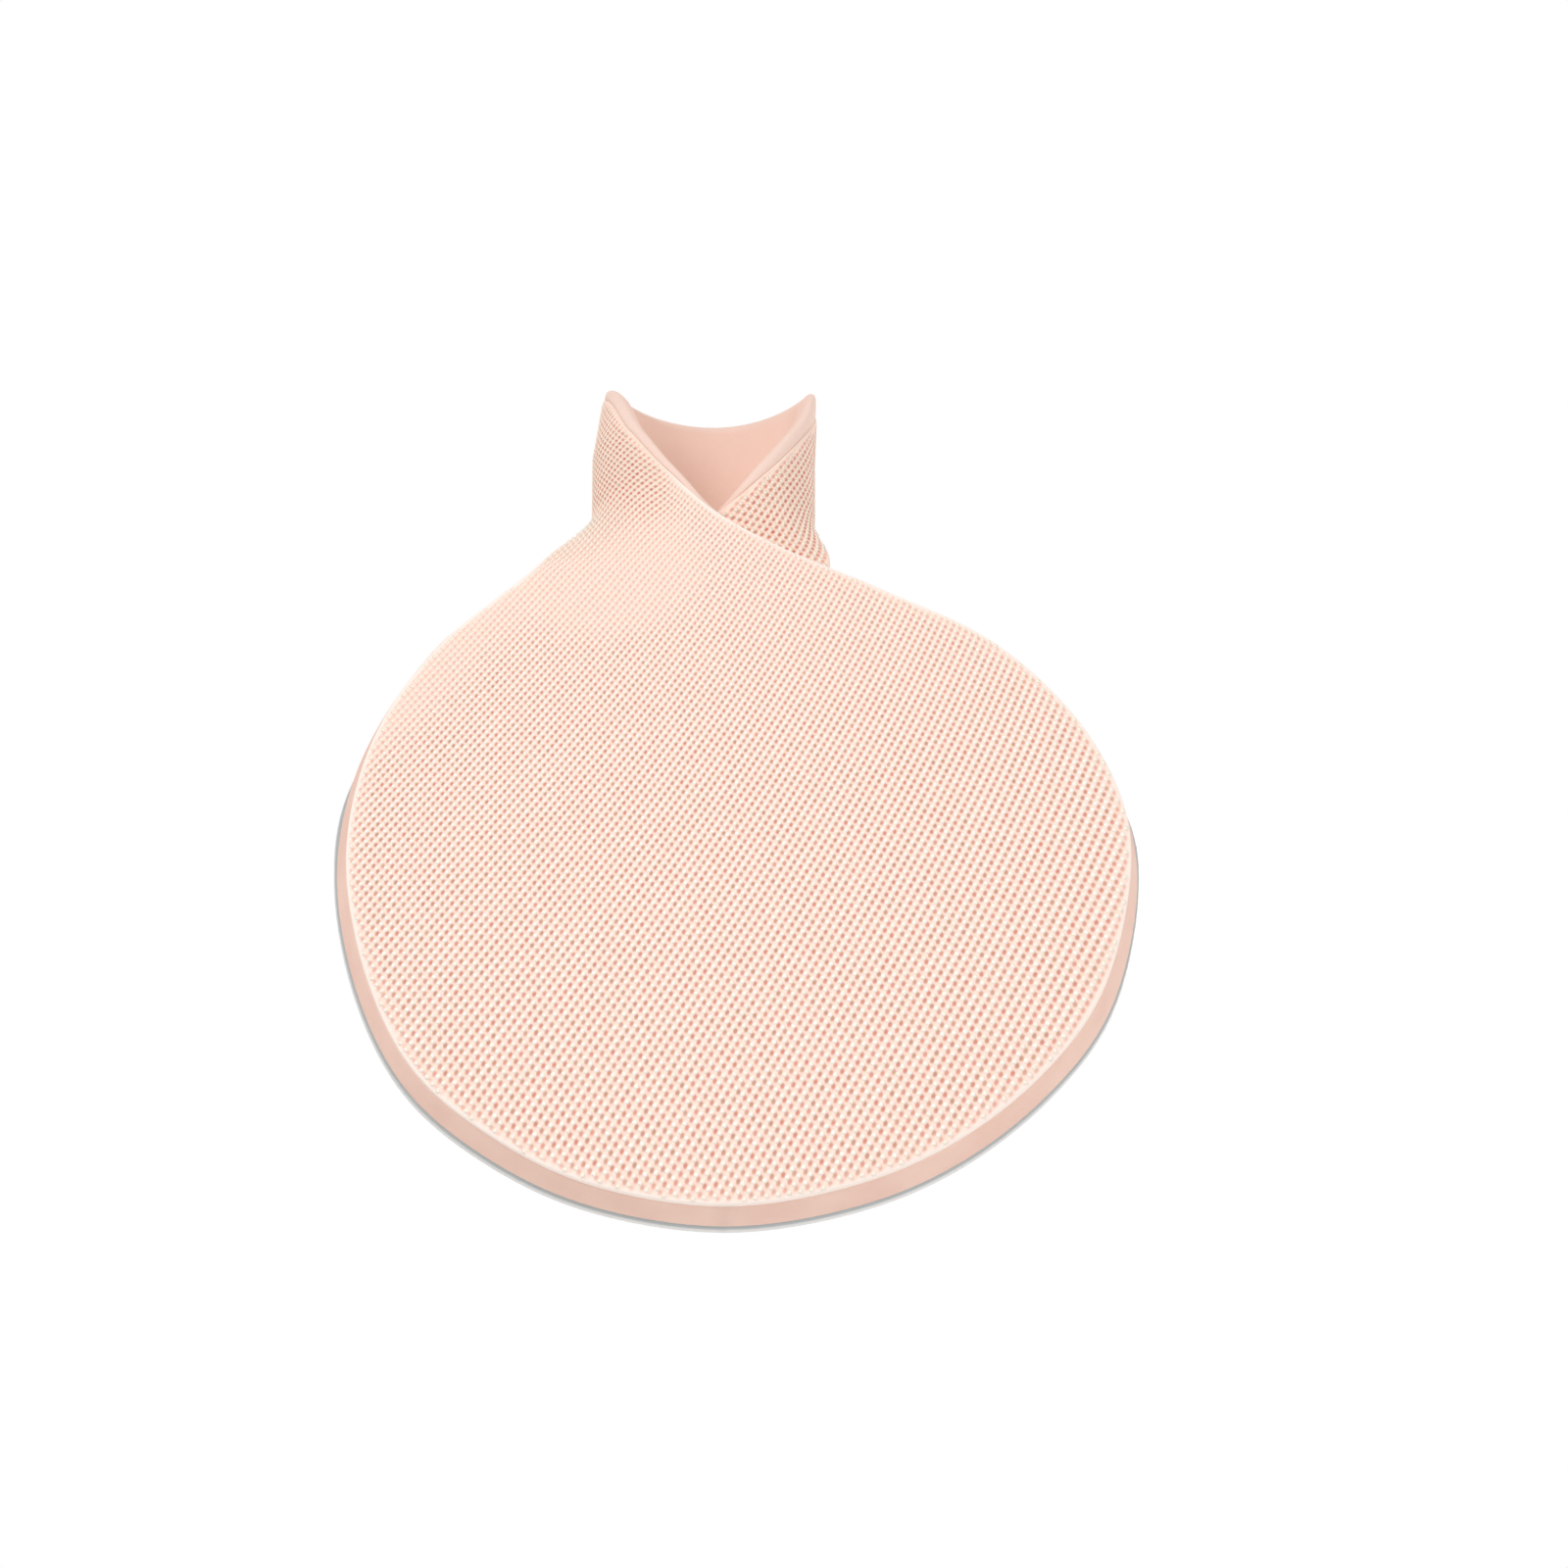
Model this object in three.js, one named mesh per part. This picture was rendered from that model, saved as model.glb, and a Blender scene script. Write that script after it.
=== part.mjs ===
import * as THREE from 'three';
import { mergeVertices } from 'three/addons/utils/BufferGeometryUtils.js';

// A cushion pad with a loop: an oval pad of three layers whose face cloth and foam run on as a
// strap, which goes once round an open loop and is tucked behind the top of the pad.
// The origin is the middle of the loop. +X runs across the pad, the face cloth looks along -Y
// and +Z points out of the loop, away from the pad.

// Driving sizes, in millimetres
const clothWall = 0.8; // knitted face cloth
const layerGap = 0.3; // between two layers that lie on each other
const strapFoam = 0.8; // foam under the strap's cloth
const padFoam = 3.0; // foam under the pad's cloth
const gelWall = 1.1; // gel on the inner side of the pad
const loopWidth = 16.8; // clear width of the loop, along X
const loopDepth = 18.0; // clear depth of the loop, along Y
const strapRise = 6.6; // the strap's upper cloth edge above the loop's middle, at the back
const neckDrop = 9.4; // the lowest point of the V between the strands, below the loop's middle
const padLength = 66.0; // from that point to the lower end of the face cloth
const padHalfWidth = 35.1; // of the face cloth
const padOffset = 2.7; // the pad's middle lies this far to the right of the loop's
const crownStand = 3.9; // the crown of the pad stands this far in front of the loop
const sideFall = 5.0; // how far the pad falls back from its crown at its sides
const neckFall = 3.6; // and at the neck
const endFall = 2.6; // and at its lower end
const rimShow = 0.8; // the foam's bevelled rim stands this far out past the cloth, round the pad
const edgeShow = 1.3; // and along the strap's upper edge
const gelShow = 0.25; // the gel's edge spreads this much more
const loopTaper = 0.45; // the loop's half width is this much less at the strap's top
const loopLean = 0.8; // and the top leans this far to the right
const loopSet = -0.4; // where the loop's middle height lies, to the right

// The strap lies on itself where it is tucked in, so along its turn it moves in by its own
// thickness: half of that at the back and all of it on the right, where it comes to the front.
const strapStack = clothWall + layerGap + strapFoam;
const lapStep = strapStack + layerGap;
const lapStart = 0.22; // shares of a turn from the front between which it moves in
const lapEnd = 0.78;
const backLap = lapStep / 2;
const ringHalfX = loopWidth / 2 + strapStack + lapStep / 2;
const ringHalfY = loopDepth / 2 + strapStack + (lapStep + backLap) / 2;
const ringX = lapStep / 2 + loopSet;
const ringY = (backLap - lapStep) / 2;
const turn = 2 * Math.PI * Math.hypot(ringHalfX, ringHalfY) / Math.SQRT2;
const crownY = ringY - ringHalfY - crownStand;

// The flat pattern of the pad. Reaches are shares of padHalfWidth to each side of the pad's middle,
// falls are shares of padLength below the V, and show is the share of rimShow at each edge.
const padRows = [
  { left: 0.043, leftFall: 1.0, leftShow: 1.0, right: -0.043, rightFall: 1.0, rightShow: 1.0 },
  { left: 0.389, leftFall: 0.971, leftShow: 1.0, right: 0.288, rightFall: 0.966, rightShow: 1.2 },
  { left: 0.635, leftFall: 0.904, leftShow: 1.1, right: 0.536, rightFall: 0.903, rightShow: 1.3 },
  { left: 0.823, leftFall: 0.815, leftShow: 1.05, right: 0.761, rightFall: 0.802, rightShow: 1.35 },
  { left: 0.943, leftFall: 0.689, leftShow: 1.1, right: 0.917, rightFall: 0.683, rightShow: 1.45 },
  { left: 1.006, leftFall: 0.524, leftShow: 1.05, right: 0.996, rightFall: 0.514, rightShow: 1.25 },
  { left: 0.98, leftFall: 0.398, leftShow: 1.0, right: 0.983, rightFall: 0.412, rightShow: 0.9 },
  { left: 0.905, leftFall: 0.298, leftShow: 0.9, right: 0.873, rightFall: 0.297, rightShow: 0.7 },
  { left: 0.764, leftFall: 0.198, leftShow: 0.7, right: 0.65, rightFall: 0.187, rightShow: 0.5 },
  { left: 0.635, leftFall: 0.139, leftShow: 0.5, right: 0.365, rightFall: 0.119, rightShow: 0.4 },
];

// The flat pattern of the strap, from the neck round the loop to the tucked end. Turns are shares
// of one turn from the front, levels are shares of strapRise above the loop's middle and of
// neckDrop below it, and show is the share of edgeShow.
const strapRows = [
  { low: 0.215, lowLevel: -1.63, lowShow: 0.3, high: -0.085, highLevel: -1.41, highShow: 0.3 },
  { low: 0.211, lowLevel: -1.255, lowShow: 0.2, high: 0.008, highLevel: -1.0, highShow: 0.38 },
  { low: 0.23, lowLevel: -0.947, lowShow: 0.1, high: 0.069, highLevel: -0.565, highShow: 0.5 },
  { low: 0.266, lowLevel: -0.766, lowShow: 0.1, high: 0.133, highLevel: -0.01, highShow: 0.6 },
  { low: 0.312, lowLevel: -0.68, lowShow: 0.1, high: 0.199, highLevel: 0.66, highShow: 0.7 },
  { low: 0.365, lowLevel: -0.65, lowShow: 0.1, high: 0.286, highLevel: 0.97, highShow: 0.85 },
  { low: 0.5, lowLevel: -0.64, lowShow: 0.1, high: 0.5, highLevel: 1.0, highShow: 1.0 },
  { low: 0.637, lowLevel: -0.67, lowShow: 0.1, high: 0.684, highLevel: 0.955, highShow: 1.35 },
  { low: 0.737, lowLevel: -0.745, lowShow: 0.1, high: 0.751, highLevel: 0.7, highShow: 1.8 },
  { low: 0.8, lowLevel: -0.98, lowShow: 0.1, high: 0.817, highLevel: 0.24, highShow: 1.1 },
  { low: 0.848, lowLevel: -1.44, lowShow: 0.1, high: 0.907, highLevel: -0.385, highShow: 0.9 },
  { low: 0.862, lowLevel: -1.78, lowShow: 0.1, high: 1.0, highLevel: -0.945, highShow: 0.4 },
  { low: 0.915, lowLevel: -2.02, lowShow: 0.1, high: 1.049, highLevel: -1.22, highShow: 0.3 },
];

// The gel follows the pad's rows up to here and closes over the top below the tucked end.
const gelPadRows = 7;
const gelTopRows = [
  { left: 0.832, leftFall: 0.27, leftShow: 0.5, right: 0.806, rightFall: 0.276, rightShow: 0.5 },
  { left: 0.576, leftFall: 0.22, leftShow: 0.1, right: 0.507, rightFall: 0.224, rightShow: 0.1 },
  { left: 0.034, leftFall: 0.2, leftShow: 0.0, right: -0.034, rightFall: 0.2, rightShow: 0.0 },
];

// The foam is thin above the level where the tucked end lies and full below the rise.
const tuckClearance = 1.0;
const foamTop = Math.min(...strapRows.map((row) => row.lowLevel)) * neckDrop - tuckClearance;
const foamRise = padLength / 6;
const strapLedge = 0.85;
const ledgeStart = -1.4 * neckDrop;

// Where the pad turns into the loop: the middle of the change lies lower away from the middle,
// and less so on the side where the strap leaves.
const wrapLevel = -1.12 * neckDrop;
const wrapBand = 1.17 * neckDrop;
const wrapFanLeft = 0.12 * neckDrop;
const wrapFanRight = 0.28 * neckDrop;
const wrapReach = 0.32 * turn;
const crownLevel = -neckDrop - 0.54 * padLength;

// Faces
const rowSteps = 3;
const columns = 12;

function smooth(share) {
  return THREE.MathUtils.smoothstep(share, 0, 1);
}

function wrapShare(u, w) {
  const fan = u < 0 ? wrapFanLeft : wrapFanRight;
  return smooth(0.5 + (w - wrapLevel + fan * (u / wrapReach) ** 2) / wrapBand);
}

function crownFall(u, w) {
  const above = w > crownLevel;
  const reach = above ? -neckDrop - crownLevel : padLength + neckDrop + crownLevel;
  const fall = above ? neckFall : endFall;
  return sideFall * (u / padHalfWidth) ** 2 + fall * ((w - crownLevel) / reach) ** 2;
}

// A point of the flat pattern, at a depth under the cloth's outer face, in its place in space.
// u runs round the loop from the front, to the left below zero, and w is the height.
function bend(u, w, depth) {
  const local = u < -turn / 2 ? u + turn : u;
  const wrap = wrapShare(local, w);
  const angle = (2 * Math.PI * u) / turn;
  const rise = THREE.MathUtils.clamp(w / (strapRise + edgeShow), 0, 1);
  const halfX = ringHalfX - loopTaper * rise;
  const ring = new THREE.Vector3(
    ringX + loopLean * rise + halfX * Math.sin(angle),
    ringY - ringHalfY * Math.cos(angle),
    w,
  );
  const pad = new THREE.Vector3(local, crownY + crownFall(local, w), w);
  const inward = new THREE.Vector3(-ringHalfY * Math.sin(angle), ringHalfX * Math.cos(angle), 0);
  const stacked = new THREE.Vector3(0, 1, 0).lerp(inward.normalize(), wrap).normalize();
  const lap = lapStep * smooth((-u / turn - lapStart) / (lapEnd - lapStart));
  return pad.lerp(ring, wrap).addScaledVector(stacked, depth + lap);
}

function foamWall(w) {
  return strapFoam + (padFoam - strapFoam) * smooth((foamTop - w) / foamRise);
}

// Round the pad the rim is bevelled from the cloth's edge. On the strap, from the V upwards, the
// foam's outer face stands out too, so that nearly all of its edge shows.
function ledgeShare(w) {
  return strapLedge * smooth((w - ledgeStart) / neckDrop);
}

function padEdges(row) {
  return {
    left: new THREE.Vector3(
      padOffset - row.left * padHalfWidth,
      -neckDrop - row.leftFall * padLength,
      row.leftShow * rimShow,
    ),
    right: new THREE.Vector3(
      padOffset + row.right * padHalfWidth,
      -neckDrop - row.rightFall * padLength,
      row.rightShow * rimShow,
    ),
  };
}

function strapEdges(row) {
  const height = (level) => level * (level > 0 ? strapRise : neckDrop);
  return {
    left: new THREE.Vector3(-row.low * turn, height(row.lowLevel), row.lowShow * edgeShow),
    right: new THREE.Vector3(-row.high * turn, height(row.highLevel), row.highShow * edgeShow),
  };
}

// Cuts the flat pattern into stations: pairs of edge points, each with its outward direction.
function stationsOf(rows) {
  const last = rows.length - 1;
  const round = [
    ...rows.map((row) => row.left).reverse(),
    ...rows.slice(1).map((row) => row.right),
  ];
  const outline = new THREE.CatmullRomCurve3(round, false, 'centripetal');
  const nudge = 0.01; // of a row, to either side, for the edge's direction
  const edgeAt = (index) => {
    const at = outline.getPoint(index / (2 * last));
    const before = outline.getPoint(Math.max(0, index - nudge) / (2 * last));
    const after = outline.getPoint(Math.min(2 * last, index + nudge) / (2 * last));
    const outward = new THREE.Vector2(after.y - before.y, before.x - after.x).normalize();
    return { u: at.x, w: at.y, show: at.z, outward };
  };
  const count = last * rowSteps;
  return Array.from({ length: count + 1 }, (_, i) => ({
    left: edgeAt(last - i / rowSteps),
    right: edgeAt(last + i / rowSteps),
  }));
}

// One layer as a closed solid: its outer and inner faces, its rim and its two ends.
function layer(stations, outer, inner) {
  const positions = [];
  for (const face of [outer, inner]) {
    for (const { left, right } of stations) {
      const edges = [left, right].map((edge) => {
        const grow = face.show(edge);
        return new THREE.Vector2(edge.u, edge.w).addScaledVector(edge.outward, grow);
      });
      for (let j = 0; j <= columns; j += 1) {
        const flat = edges[0].clone().lerp(edges[1], j / columns);
        positions.push(...bend(flat.x, flat.y, face.depth(flat.y)).toArray());
      }
    }
  }
  const perFace = stations.length * (columns + 1);
  const at = (face, i, j) => face * perFace + i * (columns + 1) + j;
  const quads = [];
  for (let i = 0; i + 1 < stations.length; i += 1) {
    for (let j = 0; j < columns; j += 1) {
      quads.push([at(0, i, j), at(0, i, j + 1), at(0, i + 1, j + 1), at(0, i + 1, j)]);
      quads.push([at(1, i, j), at(1, i + 1, j), at(1, i + 1, j + 1), at(1, i, j + 1)]);
    }
    quads.push([at(0, i, 0), at(0, i + 1, 0), at(1, i + 1, 0), at(1, i, 0)]);
    quads.push([at(0, i, columns), at(1, i, columns), at(1, i + 1, columns), at(0, i + 1, columns)]);
  }
  const end = stations.length - 1;
  for (let j = 0; j < columns; j += 1) {
    quads.push([at(0, 0, j), at(1, 0, j), at(1, 0, j + 1), at(0, 0, j + 1)]);
    quads.push([at(0, end, j), at(0, end, j + 1), at(1, end, j + 1), at(1, end, j)]);
  }
  return closed(positions, quads);
}

// Joins points that coincide, as they do where the pad closes at its end, and drops empty faces.
function closed(positions, quads) {
  const loose = new THREE.BufferGeometry();
  loose.setAttribute('position', new THREE.Float32BufferAttribute(positions, 3));
  loose.setIndex(quads.flatMap(([a, b, c, d]) => [a, b, c, a, c, d]));
  const merged = mergeVertices(loose, 1e-4);
  const corners = merged.index.array;
  const kept = [];
  for (let k = 0; k < corners.length; k += 3) {
    const [a, b, c] = corners.slice(k, k + 3);
    if (a !== b && b !== c && c !== a) kept.push(a, b, c);
  }
  merged.setIndex(kept);
  merged.computeVertexNormals();
  return merged;
}

function piece(name, geometry, colour, roughness) {
  const material = new THREE.MeshStandardMaterial({ color: colour, roughness, metalness: 0 });
  const mesh = new THREE.Mesh(geometry, material);
  mesh.name = name;
  return mesh;
}

const wholeRows = [...padRows.map(padEdges), ...strapRows.map(strapEdges)];
const gelRows = [...padRows.slice(0, gelPadRows), ...gelTopRows].map(padEdges);

function knitCover() {
  return layer(
    stationsOf(wholeRows),
    { depth: () => 0, show: () => 0 },
    { depth: () => clothWall, show: () => 0 },
  );
}

function foamBacking() {
  const under = clothWall + layerGap;
  return layer(
    stationsOf(wholeRows),
    { depth: () => under, show: (edge) => edge.show * ledgeShare(edge.w) },
    { depth: (w) => under + foamWall(w), show: (edge) => edge.show },
  );
}

function gelLayer() {
  const under = (w) => clothWall + layerGap + foamWall(w) + layerGap;
  return layer(
    stationsOf(gelRows),
    { depth: under, show: (edge) => edge.show },
    { depth: (w) => under(w) + gelWall, show: (edge) => edge.show + gelShow },
  );
}

const cushion = new THREE.Group();
cushion.add(piece('knit_cover', knitCover(), 0xfbdcca, 0.85));
cushion.add(piece('foam_backing', foamBacking(), 0xe8c8b8, 0.8));
cushion.add(piece('gel_layer', gelLayer(), 0xdcdcd8, 0.3));

export default cushion;
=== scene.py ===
import math

import bmesh
import bpy
import numpy as np
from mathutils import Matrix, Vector


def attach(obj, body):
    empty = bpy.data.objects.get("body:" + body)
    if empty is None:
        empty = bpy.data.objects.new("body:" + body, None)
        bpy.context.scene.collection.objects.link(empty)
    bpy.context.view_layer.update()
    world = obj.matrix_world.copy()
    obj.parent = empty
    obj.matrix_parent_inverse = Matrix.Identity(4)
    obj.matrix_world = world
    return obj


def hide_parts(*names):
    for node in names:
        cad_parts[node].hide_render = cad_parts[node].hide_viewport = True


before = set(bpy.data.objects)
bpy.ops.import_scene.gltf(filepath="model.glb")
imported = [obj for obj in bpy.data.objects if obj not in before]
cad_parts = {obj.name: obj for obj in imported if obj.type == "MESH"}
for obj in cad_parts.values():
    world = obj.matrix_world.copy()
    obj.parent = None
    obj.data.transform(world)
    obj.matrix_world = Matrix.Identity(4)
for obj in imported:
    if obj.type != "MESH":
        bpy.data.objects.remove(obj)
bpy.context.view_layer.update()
print("frame loaded")

# The flat pattern of the cushion in millimetres, as in the CAD: u runs round the loop from the
# front, to the left below zero, and w is the height.
cushion = {
    "clothWall": 0.8,
    "layerGap": 0.3,
    "strapFoam": 0.8,
    "padFoam": 3.0,
    "gelWall": 1.1,
    "loopWidth": 16.8,
    "loopDepth": 18.0,
    "strapRise": 6.6,
    "neckDrop": 9.4,
    "padLength": 66.0,
    "padHalfWidth": 35.1,
    "padOffset": 2.7,
    "crownStand": 3.9,
    "sideFall": 5.0,
    "neckFall": 3.6,
    "endFall": 2.6,
    "rimShow": 0.8,
    "edgeShow": 1.3,
    "gelShow": 0.25,
    "loopTaper": 0.45,
    "loopLean": 0.8,
    "loopSet": -0.4,
}
# Left reach, fall and rim, then right reach, fall and rim, as shares
padRows = [
    (0.043, 1.0, 1.0, -0.043, 1.0, 1.0),
    (0.389, 0.971, 1.0, 0.288, 0.966, 1.2),
    (0.635, 0.904, 1.1, 0.536, 0.903, 1.3),
    (0.823, 0.815, 1.05, 0.761, 0.802, 1.35),
    (0.943, 0.689, 1.1, 0.917, 0.683, 1.45),
    (1.006, 0.524, 1.05, 0.996, 0.514, 1.25),
    (0.98, 0.398, 1.0, 0.983, 0.412, 0.9),
    (0.905, 0.298, 0.9, 0.873, 0.297, 0.7),
    (0.764, 0.198, 0.7, 0.65, 0.187, 0.5),
    (0.635, 0.139, 0.5, 0.365, 0.119, 0.4),
]
# The lower edge's turn, level and rim, then the upper edge's, as shares
strapRows = [
    (0.215, -1.63, 0.3, -0.085, -1.41, 0.3),
    (0.211, -1.255, 0.2, 0.008, -1.0, 0.38),
    (0.23, -0.947, 0.1, 0.069, -0.565, 0.5),
    (0.266, -0.766, 0.1, 0.133, -0.01, 0.6),
    (0.312, -0.68, 0.1, 0.199, 0.66, 0.7),
    (0.365, -0.65, 0.1, 0.286, 0.97, 0.85),
    (0.5, -0.64, 0.1, 0.5, 1.0, 1.0),
    (0.637, -0.67, 0.1, 0.684, 0.955, 1.35),
    (0.737, -0.745, 0.1, 0.751, 0.7, 1.8),
    (0.8, -0.98, 0.1, 0.817, 0.24, 1.1),
    (0.848, -1.44, 0.1, 0.907, -0.385, 0.9),
    (0.862, -1.78, 0.1, 1.0, -0.945, 0.4),
    (0.915, -2.02, 0.1, 1.049, -1.22, 0.3),
]
gelPadRows = 7  # the gel follows the pad's rows up to here and closes over the top
gelTopRows = [
    (0.832, 0.27, 0.5, 0.806, 0.276, 0.5),
    (0.576, 0.22, 0.1, 0.507, 0.224, 0.1),
    (0.1, 0.2, 0.0, 0.032, 0.2, 0.0),
    (0.034, 0.2, 0.0, -0.034, 0.2, 0.0),
]

clothWall = cushion["clothWall"]
neckDrop = cushion["neckDrop"]
padLength = cushion["padLength"]
strapStack = clothWall + cushion["layerGap"] + cushion["strapFoam"]
lapStep = strapStack + cushion["layerGap"]  # how far one turn moves the strap in
lapStart, lapEnd = 0.22, 0.78
ringHalfX = cushion["loopWidth"] / 2 + strapStack + lapStep / 2
ringHalfY = cushion["loopDepth"] / 2 + strapStack + lapStep * 0.75
ringX = lapStep / 2 + cushion["loopSet"]
ringY = -lapStep / 4
turn = 2 * math.pi * math.hypot(ringHalfX, ringHalfY) / math.sqrt(2)
crownY = ringY - ringHalfY - cushion["crownStand"]
foamTop = min(row[1] for row in strapRows) * neckDrop - 1.0
foamRise = padLength / 6
wrapLevel, wrapBand, wrapReach = -1.12 * neckDrop, 1.17 * neckDrop, 0.32 * turn
wrapFanLeft, wrapFanRight = 0.12 * neckDrop, 0.28 * neckDrop
crownLevel = -neckDrop - 0.54 * padLength
mm = 0.001
nudge = 0.01  # the small step that slopes are taken over
edgeSteps = 8  # outline points from one row to the next, where distances are measured


def smooth(share):
    share = np.clip(share, 0, 1)
    return share * share * (3 - 2 * share)


def bend(u, w, depth):
    # A point of the flat pattern, at a depth under the cloth's outer face, in its place in space
    local = np.where(u < -turn / 2, u + turn, u)
    fan = np.where(local < 0, wrapFanLeft, wrapFanRight)
    wrap = smooth(0.5 + (w - wrapLevel + fan * (local / wrapReach) ** 2) / wrapBand)[..., None]
    angle = 2 * np.pi * u / turn
    rise = np.clip(w / (cushion["strapRise"] + cushion["edgeShow"]), 0, 1)
    halfX = ringHalfX - cushion["loopTaper"] * rise
    leanX = ringX + cushion["loopLean"] * rise
    ringAt = [leanX + halfX * np.sin(angle), ringY - ringHalfY * np.cos(angle), w]
    above = w > crownLevel
    reach = np.where(above, -neckDrop - crownLevel, padLength + neckDrop + crownLevel)
    fall = np.where(above, cushion["neckFall"], cushion["endFall"]) * ((w - crownLevel) / reach) ** 2
    sideways = cushion["sideFall"] * (local / cushion["padHalfWidth"]) ** 2
    padAt = [local, crownY + sideways + fall, w]
    inward = np.stack([-ringHalfY * np.sin(angle), ringHalfX * np.cos(angle), 0 * w], -1)
    inward /= np.linalg.norm(inward, axis=-1, keepdims=True)
    stacked = np.array([0.0, 1.0, 0.0]) * (1 - wrap) + inward * wrap
    stacked /= np.linalg.norm(stacked, axis=-1, keepdims=True)
    lap = lapStep * smooth((-u / turn - lapStart) / (lapEnd - lapStart))
    place = np.stack(padAt, -1) * (1 - wrap) + np.stack(ringAt, -1) * wrap
    return place + stacked * (depth + lap)[..., None]


def foamWall(w):
    full = cushion["padFoam"] - cushion["strapFoam"]
    return cushion["strapFoam"] + full * smooth((foamTop - w) / foamRise)


def padEdges(row):
    left, leftFall, leftShow, right, rightFall, rightShow = row
    half, offset, show = cushion["padHalfWidth"], cushion["padOffset"], cushion["rimShow"]
    return (
        (offset - left * half, -neckDrop - leftFall * padLength, leftShow * show),
        (offset + right * half, -neckDrop - rightFall * padLength, rightShow * show),
    )


def strapEdges(row):
    edges = []
    for share, level, show in (row[:3], row[3:]):
        step = cushion["strapRise"] if level > 0 else neckDrop
        edges.append((-share * turn, level * step, show * cushion["edgeShow"]))
    return tuple(edges)


def outlineAt(points, index):
    # A centripetal curve through all the edge points: up the left edge and down the right one
    last = len(points) - 1
    ends = [2 * points[0] - points[1]], [2 * points[-1] - points[-2]]
    longer = np.vstack([ends[0], points, ends[1]])
    cell = np.clip(np.floor(index).astype(int), 0, last - 1)
    share = (index - cell)[:, None]
    a, b, c, d = (longer[cell + k] for k in range(4))
    ab, bc, cd = (np.linalg.norm(q - p, axis=1)[:, None] ** 0.5 for p, q in ((a, b), (b, c), (c, d)))
    leave = ((b - a) / ab - (c - a) / (ab + bc) + (c - b) / bc) * bc
    arrive = ((c - b) / bc - (d - b) / (bc + cd) + (d - c) / cd) * bc
    square = (-3 * b + 3 * c - 2 * leave - arrive) * share**2
    return b + leave * share + square + (2 * b - 2 * c + leave + arrive) * share**3


def stationsOf(rows, steps):
    # For each side: edge points of the flat pattern, their rim and their outward direction
    last = len(rows) - 1
    points = np.array([row[0] for row in reversed(rows)] + [row[1] for row in rows[1:]])
    along = np.arange(last * steps + 1) / steps
    sides = []
    for index in (last - along, last + along):
        before = outlineAt(points, np.maximum(0, index - nudge))
        after = outlineAt(points, np.minimum(2 * last, index + nudge))
        outward = np.stack([(after - before)[:, 1], (before - after)[:, 0]], 1)
        outward /= np.linalg.norm(outward, axis=1, keepdims=True)
        at = outlineAt(points, index)
        sides.append({"edge": at[:, :2], "show": at[:, 2], "outward": outward})
    return sides


wholeRows = [padEdges(row) for row in padRows] + [strapEdges(row) for row in strapRows]
gelRows = [padEdges(row) for row in padRows[:gelPadRows] + gelTopRows]

detail = {
    "steps": 8,  # stations from one row to the next
    "columns": 56,
    "mergeWithin": 0.004,
    "shortestEdge": 0.002,
}


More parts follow.
